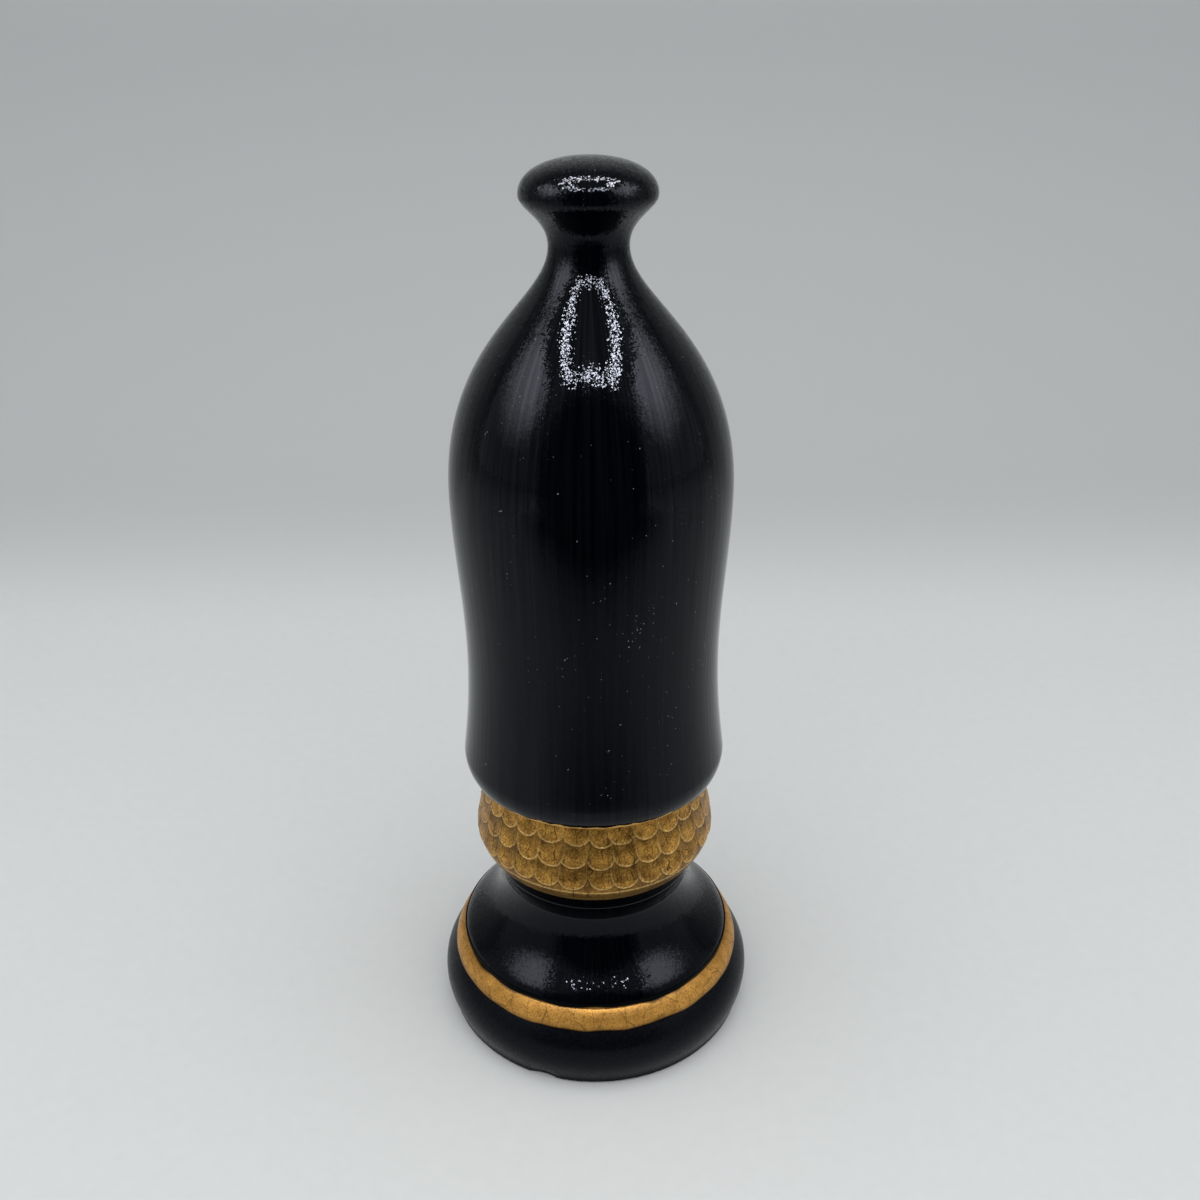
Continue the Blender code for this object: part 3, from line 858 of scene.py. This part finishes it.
around = add(old_gold, "SeparateXYZ", {"Vector": place}).outputs
bearing = add(old_gold, "Math", {0: around["Y"], 1: around["X"]}, operation="ARCTAN2").outputs[0]
drift = add(old_gold, "TexNoise", {
    "Vector": place, "Scale": 1 / CRACK_SPACING, "Detail": 1.0}).outputs[0]
wander = add(old_gold, "Math", {
    0: drift, 1: CRACK_WANDER / CRACK_RADIUS, 2: bearing}, operation="MULTIPLY_ADD").outputs[0]
crack_edge = add(old_gold, "TexVoronoi", {
    "W": wander, "Scale": CRACK_RADIUS / CRACK_SPACING},
    voronoi_dimensions="1D", feature="DISTANCE_TO_EDGE").outputs["Distance"]
crack = add(old_gold, "MapRange", {
    "Value": crack_edge, "From Min": 0.01, "From Max": 0.045, "To Min": 1.0, "To Max": 0.0}).outputs[0]
lengths = add(old_gold, "TexNoise", {
    "Vector": place, "Scale": 1 / CRACK_LENGTH, "Detail": 0.0}).outputs[0]
broken = add(old_gold, "MapRange", {
    "Value": lengths, "From Min": 0.48, "From Max": 0.53, "To Max": 0.85}).outputs[0]
crack = add(old_gold, "Math", {0: crack, 1: broken}, operation="MULTIPLY").outputs[0]
colour = add(old_gold, "Mix", {
    0: crack, MIX_FIRST: rubbed_and_highlighted, MIX_SECOND: linear("#2A1B0B")}, data_type="RGBA").outputs[MIX_RESULT]
join(old_gold, shader, Base_Color=colour, Normal=skin)

# %% [markdown]
# ### Crazed gold
# The band is the same gold without the brown wash. It is brighter, and the paint has crazed into fine
# slanting cracks as it dried. Its edges wander, and near them the gold darkens: thinner paint together
# with painted shade where the round bead turns away. Past the edges the band shows the black of its
# neighbours.

# %% Make the crazed gold
CRAZE_SPACING = 3.2 * MM
CRAZE_TILT = (0.0, 0.7, 0.0)
CRAZE_STRETCH = 0.2
BAND_BLOTCH_DEPTH = 0.08 * MM
BAND_FLAKE_DEPTH = 0.03 * MM
GOLD_METALLIC = 0.45
GOLD_ROUGHNESS = 0.4

bright_gold, shader, place = new_finish("crazed_gold_paint", GOLD_ROUGHNESS, GOLD_METALLIC)
shader.inputs["IOR"].default_value = 1.27
slanting = add(bright_gold, "Mapping", {
    "Vector": place, "Rotation": CRAZE_TILT, "Scale": (1, 1, CRAZE_STRETCH)}).outputs[0]
craze_edge = add(bright_gold, "TexVoronoi", {
    "Vector": slanting, "Scale": 1 / CRAZE_SPACING}, feature="DISTANCE_TO_EDGE").outputs["Distance"]
craze = add(bright_gold, "MapRange", {
    "Value": craze_edge, "From Max": 0.03, "To Min": 0.6, "To Max": 0.0}).outputs[0]
blotch = add(bright_gold, "TexNoise", {"Vector": place, "Scale": 1 / BLOTCH, "Detail": 5.0}).outputs[0]
flakes = add(bright_gold, "TexNoise", {"Vector": place, "Scale": 1 / FLAKE, "Detail": 2.0}).outputs[0]
body = add(bright_gold, "Mix", {
    0: blotch, MIX_FIRST: linear("#8C6022"), MIX_SECOND: linear("#E6AC56")},
    data_type="RGBA").outputs[MIX_RESULT]
speckle = add(bright_gold, "MapRange", {
    "Value": flakes, "From Min": 0.50, "From Max": 0.66, "To Max": 0.6}).outputs[0]
speckled = add(bright_gold, "Mix", {
    0: speckle, MIX_FIRST: body, MIX_SECOND: linear("#6A4A1E")}, data_type="RGBA").outputs[MIX_RESULT]
crazed = add(bright_gold, "Mix", {
    0: craze, MIX_FIRST: speckled, MIX_SECOND: linear("#4A3417")}, data_type="RGBA").outputs[MIX_RESULT]
skin = add(bright_gold, "Bump", {
    "Height": blotch, "Strength": 0.4, "Distance": BAND_BLOTCH_DEPTH}).outputs[0]
skin = add(bright_gold, "Bump", {
    "Height": flakes, "Normal": skin, "Strength": 0.6, "Distance": BAND_FLAKE_DEPTH}).outputs[0]
print(f"cracks about {CRAZE_SPACING / MM:.1f} mm apart")

# %% Let the edges of the gold wander
LAP_WAVE = 8.0 * MM
LAP_SOFTNESS = 0.2 * MM
# How far the gold can stop short of the band's top, lap past the flare's foot and stop short of the
# band's underside, and how wide its darker edge is, thinner paint with painted shade
UPPER_SHORT = 0.2 * MM
UPPER_LAP = 0.3 * MM
LOWER_SHORT = 0.3 * MM
THIN_AND_SHADED_EDGE = 1.1 * MM

height = add(bright_gold, "SeparateXYZ", {"Vector": place}).outputs["Z"]
wave_colour = add(bright_gold, "TexNoise", {
    "Vector": place, "Scale": 1 / LAP_WAVE, "Detail": 1.0}).outputs["Color"]
waves = add(bright_gold, "SeparateColor", {"Color": wave_colour})
upper = add(bright_gold, "MapRange", {
    "Value": waves.outputs["Red"], "From Min": 0.3, "From Max": 0.7,
    "To Min": band_high.z - UPPER_SHORT, "To Max": flare_foot[1] + UPPER_LAP}).outputs[0]
lower = add(bright_gold, "MapRange", {
    "Value": waves.outputs["Green"], "From Min": 0.3, "From Max": 0.7,
    "To Min": foot_high.z, "To Max": band_low.z + LOWER_SHORT}).outputs[0]
over = add(bright_gold, "Math", {0: height, 1: upper}, operation="SUBTRACT").outputs[0]
under = add(bright_gold, "Math", {0: lower, 1: height}, operation="SUBTRACT").outputs[0]
outside = add(bright_gold, "Math", {0: over, 1: under}, operation="MAXIMUM").outputs[0]
bare = add(bright_gold, "MapRange", {
    "Value": outside, "From Min": -LAP_SOFTNESS, "From Max": LAP_SOFTNESS}).outputs[0]
# Thinning paint with painted shade: the gold darkens towards its edges, as a round bead turns from the
# light
thin_paint_and_shade = add(bright_gold, "MapRange", {
    "Value": outside, "From Min": -THIN_AND_SHADED_EDGE, "From Max": 0.0, "To Max": 0.6}).outputs[0]
thinned_and_shaded = add(bright_gold, "Mix", {
    0: thin_paint_and_shade, MIX_FIRST: crazed, MIX_SECOND: linear("#5E4218")}, data_type="RGBA").outputs[MIX_RESULT]
colour = add(bright_gold, "Mix", {
    0: bare, MIX_FIRST: thinned_and_shaded, MIX_SECOND: linear("#030406")}, data_type="RGBA").outputs[MIX_RESULT]
metallic = add(bright_gold, "MapRange", {
    "Value": bare, "To Min": GOLD_METALLIC, "To Max": 0.0}).outputs[0]
gloss = add(bright_gold, "MapRange", {"Value": bare, "To Min": GOLD_ROUGHNESS, "To Max": 0.08}).outputs[0]
sheen = add(bright_gold, "MapRange", {"Value": bare, "To Min": 0.5, "To Max": 0.06}).outputs[0]
join(bright_gold, shader, Base_Color=colour, Metallic=metallic, Roughness=gloss, Normal=skin,
     Specular_IOR_Level=sheen)

# %% [markdown]
# ### Felt, iron and cork
# Three finishes are under the pawn or inside it. Wool felt is matt and full of short fibres, cast
# iron is dark and grainy, and pressed cork is a mosaic of light and dark grains.

# %% Make the hidden finishes
FELT_FIBRE = 0.35 * MM
FELT_PILE = 0.2 * MM
IRON_GRAIN = 0.8 * MM
IRON_PITS = 0.1 * MM
CORK_GRAIN = 1.8 * MM
CORK_PITS = 0.2 * MM

green_felt, shader, place = new_finish("green_wool_felt", 0.95)
fibres = add(green_felt, "TexNoise", {"Vector": place, "Scale": 1 / FELT_FIBRE, "Detail": 6.0}).outputs[0]
colour = add(green_felt, "Mix", {
    0: fibres, MIX_FIRST: linear("#0C1E14"), MIX_SECOND: linear("#25402F")},
    data_type="RGBA").outputs[MIX_RESULT]
skin = add(green_felt, "Bump", {"Height": fibres, "Strength": 0.8, "Distance": FELT_PILE}).outputs[0]
join(green_felt, shader, Base_Color=colour, Normal=skin)

cast_iron, shader, place = new_finish("cast_iron", 0.6, 1.0)
grains = add(cast_iron, "TexNoise", {"Vector": place, "Scale": 1 / IRON_GRAIN, "Detail": 5.0}).outputs[0]
colour = add(cast_iron, "Mix", {
    0: grains, MIX_FIRST: linear("#2B2B2C"), MIX_SECOND: linear("#565554")},
    data_type="RGBA").outputs[MIX_RESULT]
skin = add(cast_iron, "Bump", {"Height": grains, "Strength": 0.6, "Distance": IRON_PITS}).outputs[0]
join(cast_iron, shader, Base_Color=colour, Normal=skin)

cork, shader, place = new_finish("pressed_cork", 0.9)
chips = add(cork, "TexVoronoi", {"Vector": place, "Scale": 1 / CORK_GRAIN})
shade = add(cork, "SeparateColor", {"Color": chips.outputs["Color"]}).outputs["Red"]
colour = add(cork, "Mix", {
    0: shade, MIX_FIRST: linear("#6E4A28"), MIX_SECOND: linear("#B98C58")},
    data_type="RGBA").outputs[MIX_RESULT]
skin = add(cork, "Bump", {
    "Height": chips.outputs["Distance"], "Strength": 0.5, "Distance": CORK_PITS}).outputs[0]
join(cork, shader, Base_Color=colour, Normal=skin)

# %% [markdown]
# ## Fitting the pieces
# Each new piece rides on the pawn's one body and stands for the solid of the frame that it was
# modelled over. The slug and the plug are hidden, so they keep their solids and only get a finish.

# %% Fit the pieces to the frame
fittings = [
    (cloak, "cloak", "black_glaze", glaze),
    (pedestal, "pedestal", "black_glaze", glaze),
    (foot, "foot", "black_satin", black_satin),
    (band, "base_band", "gold_paint", bright_gold),
    (skirt, "scale_skirt", "antique_gold", old_gold),
    (felt, "felt_pad", "felt", green_felt),
]
for piece, node_name, slot_name, finish in fittings:
    piece.data.materials.clear()
    piece.data.materials.append(finish)
    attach(piece, "root")
    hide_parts(node_name)
for node_name, finish in (("ballast_slug", cast_iron), ("base_plug", cork)):
    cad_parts[node_name].data.materials.clear()
    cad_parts[node_name].data.materials.append(finish)
print(f"{len(fittings)} new pieces, 2 solids kept")

# %% [markdown]
# ## The studio
# The pawn stands on a sheet of pale paper that sweeps up behind it. The sweep starts as a plane:
# its far edge is selected and spun a quarter turn, then extruded upwards.

# %% Lay the floor and the backdrop
FLOOR_HALF_WIDTH = 1.6
FLOOR_FRONT = -1.6
SWEEP_START = 0.16
SWEEP_RADIUS = 0.18
SWEEP_TOP = 1.2
SWEEP_STEPS = 24
SWEEP_SHADE = 0.09
PAPER_GRAIN = 3.0 * MM

pale_paper, shader, place = new_finish("pale_matt_paper", 0.85)
grain = add(pale_paper, "TexNoise", {"Vector": place, "Scale": 1 / PAPER_GRAIN, "Detail": 3.0}).outputs[0]
paper = add(pale_paper, "Mix", {
    0: grain, MIX_FIRST: linear("#CFD1D1"), MIX_SECOND: linear("#D5D7D7")},
    data_type="RGBA").outputs[MIX_RESULT]
# Painted shade: the paper that sweeps up behind is a darker grey than the floor, as the upright part gets
# less light
depth = add(pale_paper, "SeparateXYZ", {"Vector": place}).outputs["Y"]
behind = add(pale_paper, "MapRange", {
    "Value": depth, "From Min": SWEEP_START, "From Max": SWEEP_START + SWEEP_SHADE},
    interpolation_type="SMOOTHSTEP").outputs[0]
colour = add(pale_paper, "Mix", {
    0: behind, MIX_FIRST: paper, MIX_SECOND: linear("#B4B6B7")}, data_type="RGBA").outputs[MIX_RESULT]
join(pale_paper, shader, Base_Color=colour)

bpy.ops.object.select_all(action="DESELECT")
bpy.ops.mesh.primitive_plane_add(size=1)
floor = bpy.context.object
floor.name = "floor_and_backdrop"
for corner in floor.data.vertices:
    corner.co.x = math.copysign(FLOOR_HALF_WIDTH, corner.co.x)
    corner.co.y = SWEEP_START if corner.co.y > 0 else FLOOR_FRONT
select_corners(floor, lambda spot: spot.y > 0)
bpy.ops.mesh.spin(
    steps=SWEEP_STEPS, angle=math.pi / 2, center=(0, SWEEP_START, SWEEP_RADIUS), axis=(-1, 0, 0))
bpy.ops.mesh.extrude_region_move(TRANSFORM_OT_translate={"value": (0, 0, SWEEP_TOP)})
bpy.ops.object.mode_set(mode="OBJECT")
bpy.ops.object.shade_smooth()
floor.data.materials.append(pale_paper)
print(f"floor and backdrop: {len(floor.data.polygons)} faces")

# %% [markdown]
# ## The light
# The shine on the shoulder is a small bright rectangle: a frame of light strips that hangs over the pawn
# in a photo tent. Four narrow lamps make that frame, and only reflections see them. The even light on the
# paper comes from a wide lamp, the roof of the tent, and a pale world fills the shadows. A gloss as black
# as this one is drawn by what it mirrors, so the bright walls of the tent and its dark, open front are
# there too, as cards that only reflections see. The black card also lies flat on the floor in front, as
# painted shade on that floor, which the gloss mirrors.

# %% Hang the lamps
STRIP_HEIGHT = 0.35
ROOF_PLACE = (0.0, -0.40, 0.62)
ROOF_SIZE = (1.3, 1.3)
ROOF_RADIANCE = 1.29
strips = (
    ("front_strip", (0.004, -0.177), (0.200, 0.010), 82.0),
    ("back_strip", (0.004, 0.002), (0.190, 0.012), 62.0),
    ("left_strip", (-0.091, -0.088), (0.011, 0.180), 95.0),
    ("right_strip", (0.099, -0.088), (0.012, 0.180), 98.0),
)


def lamp(name, place, size, radiance):
    """A rectangular lamp; its power follows from its area and from how bright it looks."""
    bpy.ops.object.light_add(type="AREA", location=place)
    made = bpy.context.object
    made.name = name
    made.data.shape = "RECTANGLE"
    made.data.size, made.data.size_y = size
    made.data.energy = radiance * math.pi * size[0] * size[1]
    made.visible_camera = False
    print(f"{name}: {made.data.energy:.2f} W")
    return made


for name, (x, y), size, radiance in strips:
    lamp(name, (x, y, STRIP_HEIGHT), size, radiance).visible_diffuse = False
lamp("tent_roof", ROOF_PLACE, ROOF_SIZE, ROOF_RADIANCE).visible_glossy = False

# %% Helpers for the cards
def soft_cover(finish, place, middle, reach, full=1.0):
    """How much of a card is there: all of it near the middle, fading out to nothing at its reach."""
    from_middle = add(finish, "Mapping", {
        "Vector": place, "Location": middle, "Scale": reach}, vector_type="TEXTURE").outputs[0]
    nearness = add(finish, "TexGradient", {"Vector": from_middle}, gradient_type="SPHERICAL").outputs[1]
    return add(finish, "MapRange", {
        "Value": nearness, "From Max": full}, interpolation_type="SMOOTHSTEP").outputs[0]


def show_only_in_reflections(card, finish):
    """Finish a card so that it neither lights nor shades anything but a shiny surface."""
    card.data.materials.append(finish)
    card.visible_camera = False
    card.visible_diffuse = False
    card.visible_transmission = False
    card.visible_shadow = False
    print(f"{card.name}: {len(card.data.polygons)} faces")


# %% Stand the bright walls at the sides
WALL_DISTANCE = 0.30
WALL_SIZE = 0.5
WALL_TOP = 0.50
WALL_RADIANCE = 5.2
WALL_MIDDLE = (0.0, -0.12, 0.43)
WALL_REACH = (10.0, 0.21, 0.28)
WALL_CORE = 0.7

tent_cloth, shader, place = new_finish("lit_tent_cloth", 0.9)
shader.inputs["Base Color"].default_value = linear("#000000")
shader.inputs["Specular IOR Level"].default_value = 0.0
shader.inputs["Emission Color"].default_value = linear("#FDFEFF")
shader.inputs["Emission Strength"].default_value = WALL_RADIANCE
join(tent_cloth, shader, Alpha=soft_cover(tent_cloth, place, WALL_MIDDLE, WALL_REACH, WALL_CORE))
for name, side in (("left_wall", -WALL_DISTANCE), ("right_wall", WALL_DISTANCE)):
    bpy.ops.object.select_all(action="DESELECT")
    bpy.ops.mesh.primitive_plane_add(
        size=WALL_SIZE, location=(side, WALL_MIDDLE[1], WALL_TOP - WALL_SIZE / 2),
        rotation=(0, math.pi / 2, 0))
    wall = bpy.context.object
    wall.name = name
    bpy.ops.object.transform_apply(location=True, rotation=True)
    show_only_in_reflections(wall, tent_cloth)

# %% Stand the black card in front, with painted shade on the floor
CARD_NEAR = -0.05
CARD_FAR = -0.40
CARD_HALF_WIDTH = 0.40
CARD_TOP = 0.70
CARD_LIFT = 1 * MM
DARK_MIDDLE = (0.02, -0.40, 0.15)
DARK_REACH = (0.48, 0.33, 0.55)
DARK_CORE = 0.45

dark_front_and_shade_card, shader, place = new_finish("dark_front_and_floor_shade", 0.9)
shader.inputs["Base Color"].default_value = linear("#1E1E20")
shader.inputs["Specular IOR Level"].default_value = 0.0
join(dark_front_and_shade_card, shader, Alpha=soft_cover(dark_front_and_shade_card, place, DARK_MIDDLE, DARK_REACH, DARK_CORE))
bpy.ops.object.select_all(action="DESELECT")
bpy.ops.mesh.primitive_plane_add(size=1)
card = bpy.context.object
card.name = "dark_front_and_floor_shade"
# The card's flat part lies on the floor in front of the pawn: painted shade on that floor, seen only in
# reflections
for corner in card.data.vertices:
    corner.co.x = math.copysign(CARD_HALF_WIDTH, corner.co.x)
    corner.co.y = CARD_NEAR if corner.co.y > 0 else CARD_FAR
    corner.co.z = CARD_LIFT
select_corners(card, lambda spot: spot.y < (CARD_NEAR + CARD_FAR) / 2)
bpy.ops.mesh.extrude_region_move(TRANSFORM_OT_translate={"value": (0, 0, CARD_TOP)})
bpy.ops.object.mode_set(mode="OBJECT")
show_only_in_reflections(card, dark_front_and_shade_card)

# %% Fill the shadows
HORIZON_LIGHT = 0.45
ZENITH_LIGHT = 0.42

world = bpy.data.worlds.new("photo_tent")
bpy.context.scene.world = world
world.use_nodes = True
sky = world.node_tree.nodes["Background"]
sky.inputs["Color"].default_value = linear("#FBFDFF")
above = add(world, "SeparateXYZ", {"Vector": add(world, "TexCoord").outputs["Generated"]}).outputs["Z"]
fill = add(world, "MapRange", {
    "Value": above, "From Min": 0.3, "From Max": 0.85, "To Min": HORIZON_LIGHT, "To Max": ZENITH_LIGHT})
world.node_tree.links.new(fill.outputs[0], sky.inputs["Strength"])
bpy.context.scene.view_settings.view_transform = "Standard"
print(f"world: {HORIZON_LIGHT} at the horizon, {ZENITH_LIGHT} overhead")
